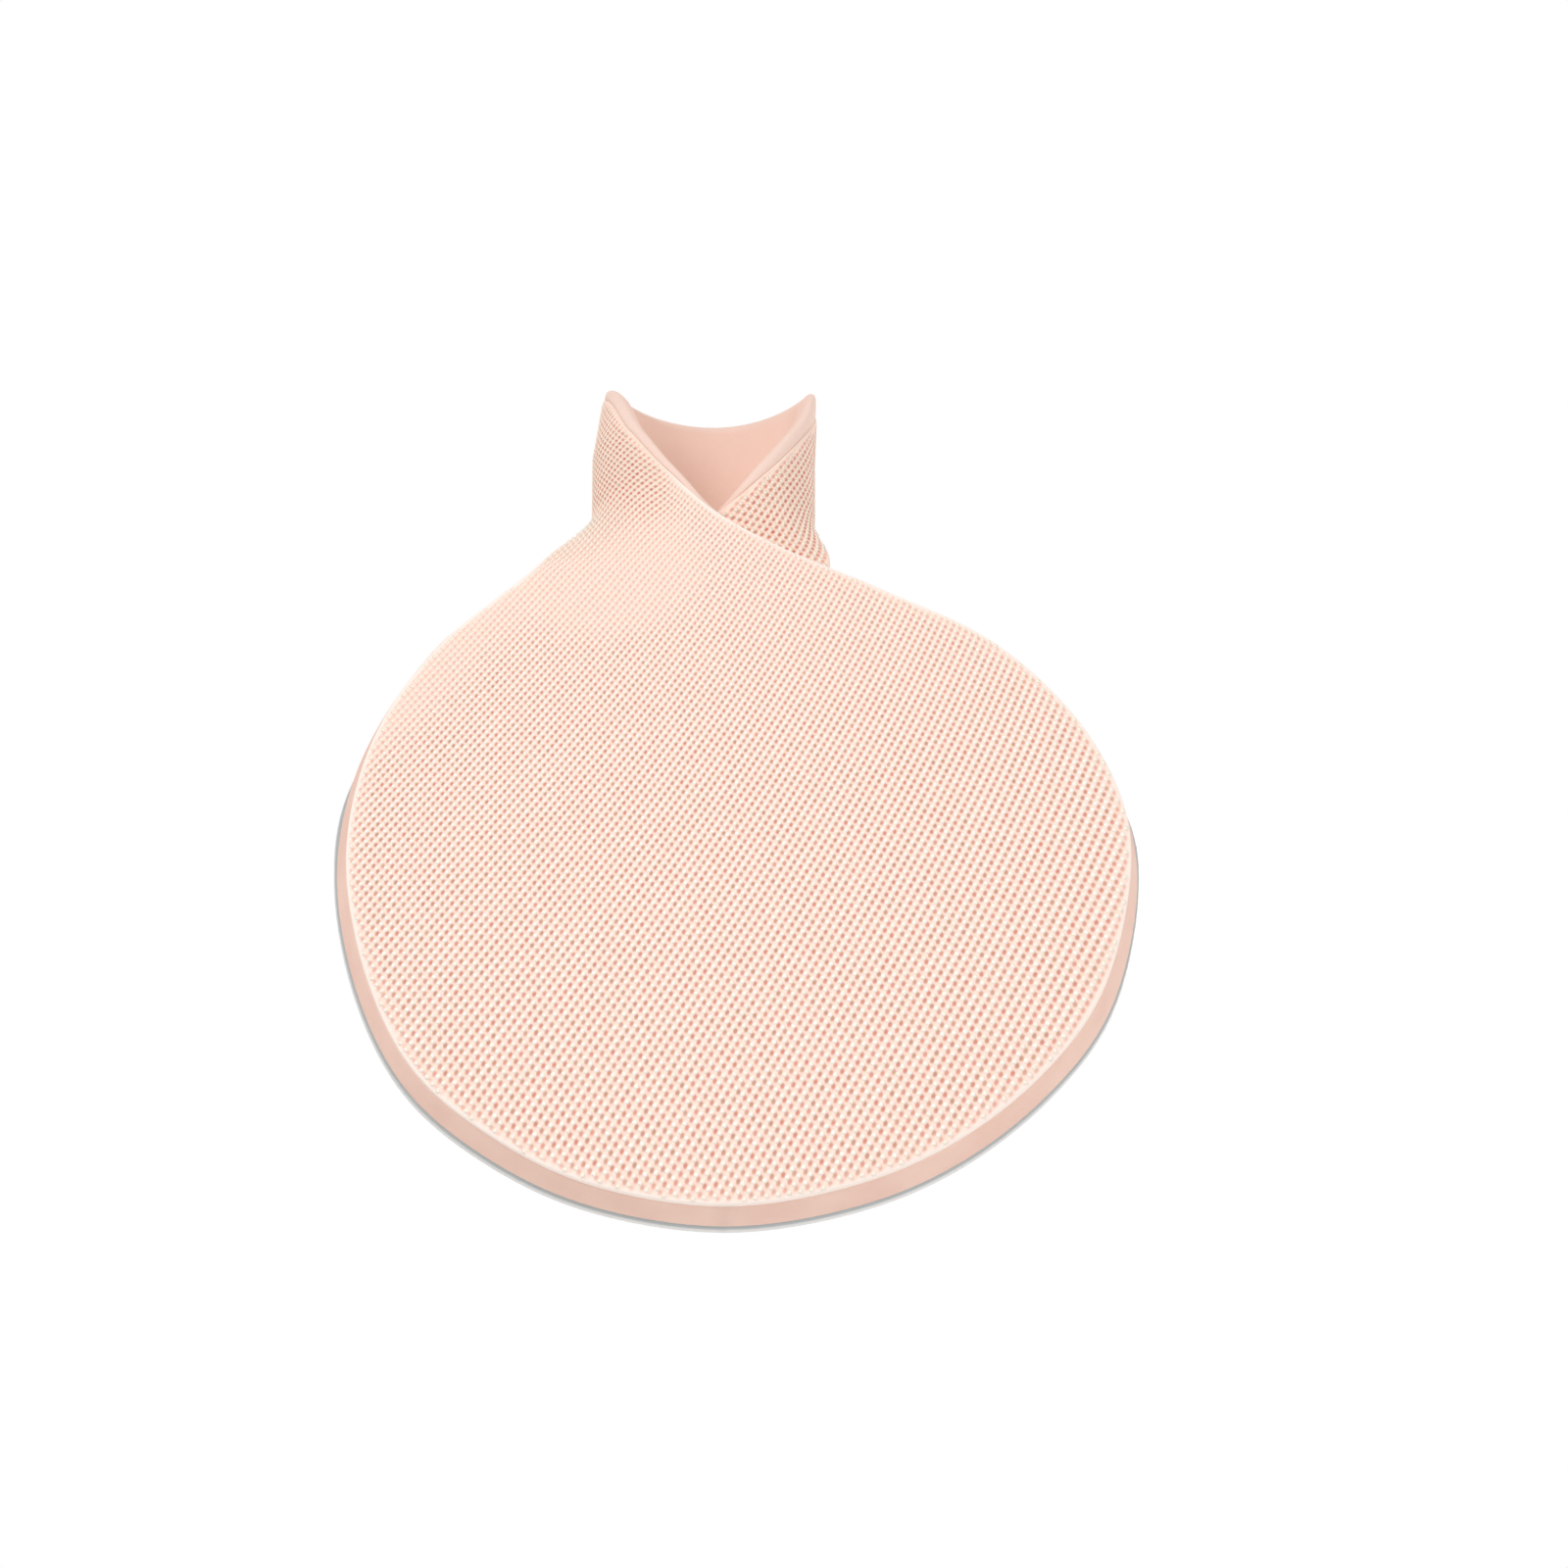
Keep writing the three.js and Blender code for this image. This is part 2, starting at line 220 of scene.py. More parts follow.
def layerMesh(name, rows, profile, faceDepth, extras):
    # One layer as a closed mesh. profile gives the rim from the outer face to the inner one, as
    # growth past the pattern's edge and depth. extras makes named values for each point.
    columns = detail["columns"]
    sides = stationsOf(rows, detail["steps"])
    across = np.linspace(0, 1, columns + 1)
    rims = []
    for side in sides:
        grow, depth = profile(side["show"], side["edge"][:, 1])
        flat = side["edge"][:, None, :] + side["outward"][:, None, :] * grow[..., None]
        rims.append((flat, depth))
    (leftFlat, leftDepth), (rightFlat, rightDepth) = rims
    rimCount = leftFlat.shape[1]

    def face(k, outer):
        share = across[None, :, None]
        flat = leftFlat[:, k, None, :] * (1 - share) + rightFlat[:, k, None, :] * share
        middle = faceDepth(flat[..., 1], outer)
        edge = leftDepth[:, k, None] * (1 - across) + rightDepth[:, k, None] * across
        toEdge = np.minimum(across, 1 - across)[None, :] * np.ones((len(flat), 1))
        blend = smooth(toEdge * columns / 2)
        return flat, middle * blend + edge * (1 - blend)

    outerFlat, outerDepth = face(0, True)
    innerFlat, innerDepth = face(rimCount - 1, False)
    parts = [outerFlat, rightFlat[:, 1:-1], innerFlat[:, ::-1], leftFlat[:, 1:-1][:, ::-1]]
    depths = [outerDepth, rightDepth[:, 1:-1], innerDepth[:, ::-1], leftDepth[:, 1:-1][:, ::-1]]
    flat = np.concatenate(parts, 1)
    depth = np.concatenate(depths, 1)
    places = bend(flat[..., 0], flat[..., 1], depth) * mm
    stations, ring = flat.shape[:2]

    mesh = bpy.data.meshes.new(name)
    corner = np.arange(stations * ring).reshape(stations, ring)
    after = np.roll(corner, -1, 1)
    quads = np.stack([corner[:-1], after[:-1], after[1:], corner[1:]], -1).reshape(-1, 4).tolist()
    rimOnly = rimCount - 2  # the left rim's points between the two faces
    for s, flip in ((0, True), (stations - 1, False)):
        loop = np.roll(corner[s], rimOnly // 2)  # starts in the middle of the left rim
        for k in range(ring // 2 - 1):
            quad = [int(loop[k]), int(loop[k + 1]), int(loop[-k - 2]), int(loop[-k - 1])]
            quads.append(quad[::-1] if flip else quad)
    mesh.from_pydata(places.reshape(-1, 3).tolist(), [], quads)
    for key, values in extras(flat, depth).items():
        data = mesh.attributes.new(key, "FLOAT", "POINT").data
        data.foreach_set("value", np.asarray(values, float).reshape(-1))
    cells = mesh.uv_layers.new(name="cells")
    uv = np.stack(knitCells(flat[..., 0], flat[..., 1]), -1).reshape(-1, 2)
    vertexOfLoop = np.zeros(len(mesh.loops), int)
    mesh.loops.foreach_get("vertex_index", vertexOfLoop)
    cells.data.foreach_set("uv", uv[vertexOfLoop].reshape(-1))

    tidy = bmesh.new()
    tidy.from_mesh(mesh)
    bmesh.ops.remove_doubles(tidy, verts=tidy.verts, dist=detail["mergeWithin"] * mm)
    bmesh.ops.dissolve_degenerate(tidy, dist=detail["shortestEdge"] * mm, edges=tidy.edges)
    bmesh.ops.recalc_face_normals(tidy, faces=tidy.faces)
    tidy.to_mesh(mesh)
    tidy.free()
    mesh.shade_smooth()
    piece = bpy.data.objects.new(name, mesh)
    bpy.context.collection.objects.link(piece)
    return piece


def asProfile(points):
    # points is a list of pairs of functions or numbers that turn rim and height into growth and depth
    def profile(show, w):
        grow = np.stack([g(show, w) if callable(g) else g + 0 * w for g, _ in points], -1)
        depth = np.stack([d(show, w) if callable(d) else d + 0 * w for _, d in points], -1)
        return grow, depth

    return profile


# The knit's columns and rows over the flat pattern, each a sum of products of u and v, which is
# the height above padMiddle on the pad and above the loop's middle on the strap.
knit = {
    "padColumns": {
        "u": 1.291,
        "v": -0.821,
        "uv": 0.0096,
        "vv": -0.0034,
        "uuu": -0.00006,
        "uvv": 0.00013,
    },
    "padRows": {
        "u": -1.005,
        "v": -1.197,
        "uu": 0.0053,
        "uv": -0.0058,
        "vv": -0.0056,
        "uuv": 0.00012,
        "uvv": -0.00006,
    },
    "strapColumns": {"u": 0.531, "v": -1.568, "uu": -0.0036, "uv": -0.0082},
    "strapRows": {"u": -1.534, "v": -1.765, "uu": -0.0081, "uv": -0.0066},
    "padMiddle": -42.0,
    "joinAt": (-5.0, -9.0),  # a point of the join, where the strap's cells follow on from the pad's
    "joinAcross": (-2.8, 4.0),  # where the join starts and how wide it is, across and up
    "joinUp": (-15.1, 10.0),
    "stitchAt": (0.5, 0.83),  # each stitch's place in its cell
    "stitchLength": 0.4,  # half of the stitch, as a share of its cell
    "stitchWidth": 0.31,
    "stitchHeight": 0.12,
    "longestRow": 0.76,  # cells longer than this get a stitch for this length
    "spread": 0.06,  # how much the stitches differ in size
    "seed": 7,
    "toneSeed": 3,
    "stitchMargin": 0.32,  # no stitch is nearer to the edge, and strapMargin more on the strap
    "strapMargin": 0.2,
    "strapRise": 0.3,  # shares of the full height, on the strap, where it is drawn and at the edge
    "drawnRise": 0.4,
    "edgeRise": 0.5,
    "edgeReach": 1.6,  # how far in the edge lowers the stitches
    "neckAt": (-10.0, -15.0),  # the smooth patch between pad and strand
    "neckReach": (10.0, 8.0),
    "neckSoftness": 1.5,
    "edgeFade": 8.0,  # the band along the upper left edge, with lower stitches and eyelets paled as a painted highlight
    "edgeFadeFrom": -38.0,
    "edgeFadeUp": 10.0,
    "edgeFadeAcross": 6.0,
    "upperFade": 0.5,  # how smooth the pad becomes towards its upper end
    "upperReach": 32.0,
    "padStitchesBelow": -1.6,  # in neck drops
    "searchColumns": 49,
    "searchRounds": 8,
    "searchStep": 2.0,
    "searchMiss": 0.02,
}


def productSum(terms, u, v):
    return sum(value * u ** key.count("u") * v ** key.count("v") for key, value in terms.items())


def padCells(u, w):
    v = w - knit["padMiddle"]
    return productSum(knit["padColumns"], u, v), productSum(knit["padRows"], u, v)


def strapCells(u, w):
    return productSum(knit["strapColumns"], u, w), productSum(knit["strapRows"], u, w)


def strapShare(u, w):
    # 0 on the pad and 1 on the strap
    (fromU, acrossU), (fromW, acrossW) = knit["joinAcross"], knit["joinUp"]
    share = smooth((fromU - u) / acrossU) * smooth((w - fromW) / acrossW)
    return np.where(u < -turn / 2, 1.0, share)


def drawnAndHighlightShare(u, w, inset):
    # 1 where the stitches lie lower and the eyelets are paler: where the cloth is drawn smooth between
    # pad and strand and in part over the upper pad, and along the upper left edge as a painted highlight
    (atU, atW), (reachU, reachW) = knit["neckAt"], knit["neckReach"]
    near = smooth(knit["neckSoftness"] - np.hypot((u - atU) / reachU, (w - atW) / reachW))
    edge = smooth(1 - inset / knit["edgeFade"]) * smooth((w - knit["edgeFadeFrom"]) / knit["edgeFadeUp"])
    edge = edge * smooth(-u / knit["edgeFadeAcross"])
    upper = knit["upperFade"] * smooth((w - knit["padMiddle"]) / knit["upperReach"])
    return np.maximum(np.maximum(near, edge), upper) * (u > -turn / 2) * (1 - strapShare(u, w))


def knitCells(u, w):
    share = strapShare(u, w)
    atU, atW = (np.array([value]) for value in knit["joinAt"])
    cells = []
    for pad, strap, padHere, strapHere in zip(
        padCells(u, w), strapCells(u, w), padCells(atU, atW), strapCells(atU, atW)
    ):
        cells.append(pad * (1 - share) + (strap + padHere - strapHere) * share)
    return cells


def outlineOf(rows):
    sides = stationsOf(rows, edgeSteps)
    return np.vstack([sides[0]["edge"][::-1], sides[1]["edge"]])


def edgeDistance(flat, outline, batch=4000):
    # How far each point lies inside the outline, negative outside
    tiny = 1e-12  # stands in for a zero that would be divided by
    start, stop = outline, np.roll(outline, -1, 0)
    run = stop - start
    length = np.maximum((run**2).sum(1), tiny)
    out = np.empty(len(flat))
    for first in range(0, len(flat), batch):
        point = flat[first : first + batch, None, :]
        share = np.clip(((point - start) * run).sum(-1) / length, 0, 1)[..., None]
        nearest = np.linalg.norm(point - start - share * run, axis=-1).min(1)
        rising = (start[:, 1] > point[..., 1]) != (stop[:, 1] > point[..., 1])
        slope = np.where(run[:, 1] == 0, tiny, run[:, 1])
        crossing = start[:, 0] + (point[..., 1] - start[:, 1]) / slope * run[:, 0] > point[..., 0]
        inside = (rising & crossing).sum(1) % 2 == 1
        out[first : first + batch] = np.where(inside, nearest, -nearest)
    return out


wholeOutline = outlineOf(wholeRows)


# Materials

def linear(red, green, blue):
    # A colour as seen on a screen, 0 to 255, as the shader wants it
    def channel(value):
        value /= 255
        return value / 12.92 if value <= 0.04045 else ((value + 0.055) / 1.055) ** 2.4

    return (channel(red), channel(green), channel(blue), 1.0)


# Each fade is a start and an end, and each bump a depth in metres and a strength
knitLook = {
    "valley": linear(255, 218, 202),
    "valleyStrap": linear(255, 208, 190),
    "rib": linear(255, 231, 217),
    "ribStrap": linear(255, 232, 214),
    "eyelet": linear(230, 146, 128),
    "eyeletStrap": linear(216, 116, 100),
    "eyeletBrown": linear(212, 156, 132),
    "border": linear(255, 240, 230),
    "borderStrap": linear(250, 224, 208),
    "eyeletWidth": 0.25,
    "eyeletLength": 0.34,
    "eyeletFade": (1.35, 0.25),
    "borderFade": (0.05, 0.65),
    "rimFade": (0.3, 1.9),
    "rimEyelet": 0.6,
    "brownFade": (0.2, 0.9),
    "palestEyelet": 0.8,
    "drawnEyelet": 0.45,
    "bump": (0.0002, 0.7),
    "roughness": 0.85,
    "specular": 0.25,
}
stitchLook = {
    "cream": linear(255, 250, 241),
    "warm": linear(255, 243, 230),
    "strap": linear(255, 242, 226),
    "warmFade": (0.3, 1.0),
    "strapFade": (1.0, 0.4),
    "roughness": 0.7,
    "specular": 0.3,
}
foamLook = {
    "pale": linear(243, 208, 192),
    "deep": linear(238, 200, 184),
    "strap": linear(244, 215, 201),
    "blotches": 180.0,
    "grains": 3500.0,
    "blotchFade": (0.35, 0.7),
    "bump": (0.00006, 0.4),
    "roughness": 0.85,
    "specular": 0.3,
}
gelLook = {
    # the grey is a painted shadow line between foam and gel, and the white a painted highlight on the
    # gel's inner edge
    "shadowLineGrey": linear(178, 182, 182),
    "white": linear(232, 228, 224),
    "blotches": 120.0,
    "grains": 900.0,
    "shadowToHighlightFade": (0.15, 0.4),
    "bump": (0.0002, 0.3),
    "roughness": 0.28,
    "scatter": 0.25,
    "scatterRadius": (0.003, 0.003, 0.003),
    "scatterScale": 0.3,
}


def addNode(tree, kind, place, **settings):
    node = tree.nodes.new(kind)
    node.location = place
    for key, value in settings.items():
        setattr(node, key, value)
    return node


def newMaterial(name):
    material = bpy.data.materials.new(name)
    material.use_nodes = True
    tree = material.node_tree
    return material, tree, tree.nodes["Principled BSDF"]


def mathNode(tree, operation, first, second, place):
    node = addNode(tree, "ShaderNodeMath", place, operation=operation)
    for socket, value in zip(node.inputs, (first, second)):
        if hasattr(value, "is_output"):
            tree.links.new(value, socket)
        else:
            socket.default_value = value
    return node.outputs[0]


def mixColours(tree, mask, first, second, place):
    node = addNode(tree, "ShaderNodeMix", place, data_type="RGBA")
    for socket, value in ((node.inputs[0], mask), (node.inputs[6], first), (node.inputs[7], second)):
        if hasattr(value, "is_output"):
            tree.links.new(value, socket)
        else:
            socket.default_value = value
    return node.outputs[2]


def groupSockets(group, inputs, outputs):
    # inputs and outputs are dictionaries from each socket's name to its kind
    for direction, sockets in (("INPUT", inputs), ("OUTPUT", outputs)):
        for name, kind in sockets.items():
            group.interface.new_socket(name, in_out=direction, socket_type="NodeSocket" + kind)


def makeKnitGroup():
    # Masks of the knit's eyelets and ribs from its columns and rows, and a tone for each stitch
    group = bpy.data.node_groups.new("knit pattern", "ShaderNodeTree")
    groupSockets(
        group,
        {"Eyelet Width": "Float", "Eyelet Length": "Float"},
        {"Eyelet": "Float", "Rib": "Float", "Tone": "Float", "Hue": "Float"},
    )
    source = addNode(group, "NodeGroupInput", (-1400, 0))
    result = addNode(group, "NodeGroupOutput", (900, 0))
    uv = addNode(group, "ShaderNodeUVMap", (-1400, 300), uv_map="cells")
    split = addNode(group, "ShaderNodeSeparateXYZ", (-1200, 300))
    group.links.new(uv.outputs[0], split.inputs[0])
    parts, cells = [], []
    for k, wanted in enumerate(("Eyelet Width", "Eyelet Length")):
        y = 300 - 250 * k
        shifted = mathNode(group, "ADD", split.outputs[k], 0.5, (-1000, y))
        share = mathNode(group, "FRACT", shifted, 0.0, (-800, y))
        centred = mathNode(group, "SUBTRACT", share, 0.5, (-600, y))
        cells.append(mathNode(group, "FLOOR", shifted, 0.0, (-800, y - 120)))
        scaled = mathNode(group, "DIVIDE", centred, source.outputs[wanted], (-400, y))
        size = mathNode(group, "ABSOLUTE", scaled, 0.0, (-300, y))
        parts.append(mathNode(group, "POWER", size, 2.0, (-200, y)))
    away = mathNode(group, "SQRT", mathNode(group, "ADD", parts[0], parts[1], (0, 200)), 0.0, (150, 200))
    eyelet = addNode(group, "ShaderNodeMapRange", (350, 200), interpolation_type="SMOOTHSTEP")
    for key, number in zip(("From Min", "From Max"), knitLook["eyeletFade"]):
        eyelet.inputs[key].default_value = number
    group.links.new(away, eyelet.inputs["Value"])
    group.links.new(eyelet.outputs[0], result.inputs["Eyelet"])
    wave = mathNode(group, "MULTIPLY", split.outputs[0], 2 * math.pi, (-600, -300))
    swing = mathNode(group, "COSINE", wave, 0.0, (-400, -300))
    rib = mathNode(group, "MULTIPLY_ADD", swing, -0.5, (-200, -300))
    rib.node.inputs[2].default_value = 0.5
    group.links.new(rib, result.inputs["Rib"])
    cell = addNode(group, "ShaderNodeCombineXYZ", (-400, -500))
    for k in range(2):
        group.links.new(cells[k], cell.inputs[k])
    tone = addNode(group, "ShaderNodeTexWhiteNoise", (-200, -500), noise_dimensions="2D")
    group.links.new(cell.outputs[0], tone.inputs["Vector"])
    group.links.new(tone.outputs["Value"], result.inputs["Tone"])
    hue = addNode(group, "ShaderNodeSeparateColor", (0, -600))
    group.links.new(tone.outputs["Color"], hue.inputs[0])
    group.links.new(hue.outputs[1], result.inputs["Hue"])
    return group


def makeGrainGroup():
    # Soft blotches and a fine grain over Object coordinates, for foam and gel
    group = bpy.data.node_groups.new("soft grain", "ShaderNodeTree")
    groupSockets(
        group,
        {"Blotch Scale": "Float", "Grain Scale": "Float"},
        {"Blotch": "Float", "Grain": "Float"},
    )
    source = addNode(group, "NodeGroupInput", (-600, 0))
    result = addNode(group, "NodeGroupOutput", (400, 0))
    where = addNode(group, "ShaderNodeTexCoord", (-600, 300))
    for k, (name, octaves) in enumerate((("Blotch", 2.0), ("Grain", 1.0))):
        noise = addNode(group, "ShaderNodeTexNoise", (-200, 300 - 300 * k))
        noise.inputs["Detail"].default_value = octaves
        group.links.new(where.outputs["Object"], noise.inputs["Vector"])
        group.links.new(source.outputs[name + " Scale"], noise.inputs["Scale"])
        group.links.new(noise.outputs[0], result.inputs[name])
    return group


knitGroup = makeKnitGroup()
grainGroup = makeGrainGroup()


def useGroup(tree, group, place, **values):
    node = addNode(tree, "ShaderNodeGroup", place, node_tree=group)
    for key, value in values.items():
        node.inputs[key].default_value = value
    return node


def readValue(tree, name, place):
    # A named value of the piece's own mesh
    node = addNode(tree, "ShaderNodeAttribute", place, attribute_name=name, attribute_type="GEOMETRY")
    return node.outputs["Fac"]


def mapRange(tree, value, low, high, place, toLow=0.0, toHigh=1.0):
    node = addNode(tree, "ShaderNodeMapRange", place, interpolation_type="SMOOTHSTEP")
    tree.links.new(value, node.inputs["Value"])
    for key, number in (("From Min", low), ("From Max", high), ("To Min", toLow), ("To Max", toHigh)):
        node.inputs[key].default_value = number
    return node.outputs[0]


def addBump(tree, shader, height, distance, strength, place):
    bump = addNode(tree, "ShaderNodeBump", place)
    bump.inputs["Strength"].default_value = strength
    bump.inputs["Distance"].default_value = distance
    tree.links.new(height, bump.inputs["Height"])
    tree.links.new(bump.outputs[0], shader.inputs["Normal"])


def knitMaterial():
    material, tree, shader = newMaterial("knit ground")
    eyelets = {"Eyelet Width": knitLook["eyeletWidth"], "Eyelet Length": knitLook["eyeletLength"]}
    pattern = useGroup(tree, knitGroup, (-1100, 0), **eyelets)
    strap = readValue(tree, "strap", (-1100, 600))
    inset = readValue(tree, "inset", (-1100, 400))
    inside = mapRange(tree, inset, *knitLook["borderFade"], (-850, 400))
    paleEdge = mapRange(tree, inset, *knitLook["rimFade"], (-850, 200), knitLook["rimEyelet"])
    brown = mapRange(tree, pattern.outputs["Hue"], *knitLook["brownFade"], (-850, -300))
    red = mixColours(tree, strap, knitLook["eyelet"], knitLook["eyeletStrap"], (-850, -500))
    dot = mixColours(tree, brown, red, knitLook["eyeletBrown"], (-650, -300))
    toned = mapRange(tree, pattern.outputs["Tone"], 0.0, 1.0, (-850, -700), knitLook["palestEyelet"])
    # paler eyelets where the cloth is drawn smooth, and along the upper left edge as a painted highlight
    drawn = readValue(tree, "drawn", (-1100, -900))
    drawn = mapRange(tree, drawn, 0.0, 1.0, (-850, -900), 1.0, knitLook["drawnEyelet"])
    mask = pattern.outputs["Eyelet"]
    for k, fade in enumerate((toned, inside, drawn, paleEdge)):
        mask = mathNode(tree, "MULTIPLY", mask, fade, (-600 + 150 * k, 0))
    valley = mixColours(tree, strap, knitLook["valley"], knitLook["valleyStrap"], (-850, 800))
    rib = mixColours(tree, strap, knitLook["rib"], knitLook["ribStrap"], (-850, 1000))
    border = mixColours(tree, strap, knitLook["border"], knitLook["borderStrap"], (-850, 1200))
    ground = mixColours(tree, pattern.outputs["Rib"], valley, rib, (-600, 700))
    ground = mixColours(tree, inside, border, ground, (-400, 600))
    colour = mixColours(tree, mask, ground, dot, (-100, 200))
    tree.links.new(colour, shader.inputs["Base Color"])
    shader.inputs["Roughness"].default_value = knitLook["roughness"]
    shader.inputs["Specular IOR Level"].default_value = knitLook["specular"]
    height = mathNode(tree, "MULTIPLY", mask, -1.0, (-100, -200))
    addBump(tree, shader, height, *knitLook["bump"], (100, -200))
    return material


def stitchMaterial():
    material, tree, shader = newMaterial("knit stitches")
    warm = mapRange(tree, readValue(tree, "tone", (-800, 200)), *stitchLook["warmFade"], (-600, 200))
    colour = mixColours(tree, warm, stitchLook["cream"], stitchLook["warm"], (-400, 200))
    sunk = mapRange(tree, readValue(tree, "rise", (-800, -100)), *stitchLook["strapFade"], (-600, -100))
    colour = mixColours(tree, sunk, colour, stitchLook["strap"], (-200, 200))
    tree.links.new(colour, shader.inputs["Base Color"])
    shader.inputs["Roughness"].default_value = stitchLook["roughness"]
    shader.inputs["Specular IOR Level"].default_value = stitchLook["specular"]
    return material


def foamMaterial():
    material, tree, shader = newMaterial("beige foam")
    scales = {"Blotch Scale": foamLook["blotches"], "Grain Scale": foamLook["grains"]}
    grain = useGroup(tree, grainGroup, (-600, 0), **scales)
    blotch = mapRange(tree, grain.outputs["Blotch"], *foamLook["blotchFade"], (-400, 200))
    colour = mixColours(tree, blotch, foamLook["pale"], foamLook["deep"], (-200, 200))
    # the lighter strap foam colour on the strap's edge gives way to painted shade on the loop's inner
    # face
    colour = mixColours(tree, readValue(tree, "lip", (-400, 500)), colour, foamLook["strap"], (-50, 300))
    tree.links.new(colour, shader.inputs["Base Color"])
    shader.inputs["Roughness"].default_value = foamLook["roughness"]
    shader.inputs["Specular IOR Level"].default_value = foamLook["specular"]
    addBump(tree, shader, grain.outputs["Grain"], *foamLook["bump"], (-100, -200))
    return material


def gelMaterial():
    material, tree, shader = newMaterial("clear gel")
    scales = {"Blotch Scale": gelLook["blotches"], "Grain Scale": gelLook["grains"]}
    grain = useGroup(tree, grainGroup, (-600, 0), **scales)
    # painted shadow grey on the foam's side, fading to painted highlight white towards the inner face
    share = mapRange(tree, readValue(tree, "layer", (-600, 300)), *gelLook["shadowToHighlightFade"], (-400, 300))
    colour = mixColours(tree, share, gelLook["shadowLineGrey"], gelLook["white"], (-200, 300))
    tree.links.new(colour, shader.inputs["Base Color"])
    shader.inputs["Roughness"].default_value = gelLook["roughness"]
    shader.inputs["Subsurface Weight"].default_value = gelLook["scatter"]
    shader.inputs["Subsurface Radius"].default_value = gelLook["scatterRadius"]
    shader.inputs["Subsurface Scale"].default_value = gelLook["scatterScale"]
    addBump(tree, shader, grain.outputs["Blotch"], *gelLook["bump"], (-100, -200))
    return material


# The layers

touch = 0.02  # the layers are bonded, so they lie this close to each other


def clothValues(flat, depth):
    inset = edgeDistance(flat.reshape(-1, 2), wholeOutline)
    return {
        "inset": inset,
        "drawn": drawnAndHighlightShare(flat[..., 0], flat[..., 1], inset.reshape(flat.shape[:-1])),
        "strap": strapShare(flat[..., 0], flat[..., 1]),
    }


knitRim = asProfile([
    (-0.35, 0.0),
    (-0.22, 0.01),
    (-0.12, 0.03),
    (-0.05, 0.07),
    (-0.01, 0.13),
    (0.0, 0.22),
    (0.0, 0.6),
    (-0.04, 0.72),
    (-0.15, 0.79),
    (-0.35, clothWall),
])
knitFace = layerMesh(
    "knit_face",
    wholeRows,
    knitRim,
    lambda w, outer: 0 * w + (0 if outer else clothWall),
    clothValues,
)
knitFace.data.materials.append(knitMaterial())
print("knit face made")


foam = {
    "strandFrom": -1.4,  # in neck drops
    "ledgeFade": (0.2, 0.3),  # the rim from which the foam wraps up beside the cloth, and over how much
    # at what depth and over how much the painted shade on the loop's inner face sets in, and how much of
    # the lip colour it takes away
    "insideShadeFade": (0.5, 0.6),
    "insideShade": 0.5,
}


def onStrand(w):
    return smooth((w - foam["strandFrom"] * neckDrop) / neckDrop)


def foamValues(flat, depth):
    # lip is 1 on the strap's outer edge, and less towards its inner face, where the darker foam is
    # painted shade inside the loop
    start, over = foam["insideShadeFade"]
    inner = foam["insideShade"] * smooth((depth - start) / over)
    return {"lip": onStrand(flat[..., 1]) * (1 - inner)}


def ledge(show, w):
    # 1 where the foam's edge is the strap's own, which wraps up beside the cloth
    start, over = foam["ledgeFade"]
    return onStrand(w) * smooth((show - start) / over)


def rimBlend(pad, strap):
    # Growth past the edge. pad and strap are each a share of the rim and a plain number
    def value(show, w):
        share = ledge(show, w)
        return (pad[0] * show + pad[1]) * (1 - share) + (strap[0] * show + strap[1]) * share

    return value


def depthBlend(share, strapDepth):
    # Depth: on the pad a share of the foam's own wall, on the strap a plain number
    def value(show, w):
        part = ledge(show, w)
        padDepth = clothWall + touch + (foamWall(w) + cushion["layerGap"] - touch) * share
        return padDepth * (1 - part) + strapDepth * part

    return value


foamRim = asProfile([
    (rimBlend((0, -0.3), (0, -0.3)), depthBlend(0.0, clothWall + touch)),
    (rimBlend((0, -0.08), (0, 0.002)), depthBlend(0.0, clothWall + touch)),
    (rimBlend((0.05, 0.0), (0, 0.004)), depthBlend(0.03, 0.5)),
    (rimBlend((0.12, 0.0), (0, 0.006)), depthBlend(0.1, 0.2)),
    (rimBlend((0.25, 0.0), (0.02, 0.03)), depthBlend(0.22, 0.13)),
    (rimBlend((0.42, 0.0), (0.45, 0.05)), depthBlend(0.38, 0.12)),
    (rimBlend((0.6, 0.0), (0.8, 0.0)), depthBlend(0.54, 0.18)),
    (rimBlend((0.76, 0.0), (0.95, 0.0)), depthBlend(0.7, 0.36)),
    (rimBlend((0.9, 0.0), (1.0, 0.0)), depthBlend(0.84, 0.66)),
    (rimBlend((0.98, 0.0), (0.9, 0.0)), depthBlend(0.93, 1.05)),
    (rimBlend((1.0, 0.0), (0.65, 0.0)), depthBlend(0.98, 1.45)),
    (rimBlend((0.9, -0.05), (0.3, 0.0)), depthBlend(1.0, strapStack)),
])


def foamFace(w, outer):
    return clothWall + touch + 0 * w if outer else clothWall + cushion["layerGap"] + foamWall(w)


foamBody = layerMesh(
    "foam_body",
    wholeRows,
    foamRim,
    foamFace,
    foamValues,
)
foamBody.data.materials.append(foamMaterial())
print("foam body made")

gelWall, gelShow = cushion["gelWall"], cushion["gelShow"]


def gelDepth(share):
    def value(show, w):
        top = clothWall + cushion["layerGap"] + foamWall(w) + touch
        return top + (gelWall + cushion["layerGap"] - touch) * share

    return value


def growBy(more):
    return lambda show, w: show + more


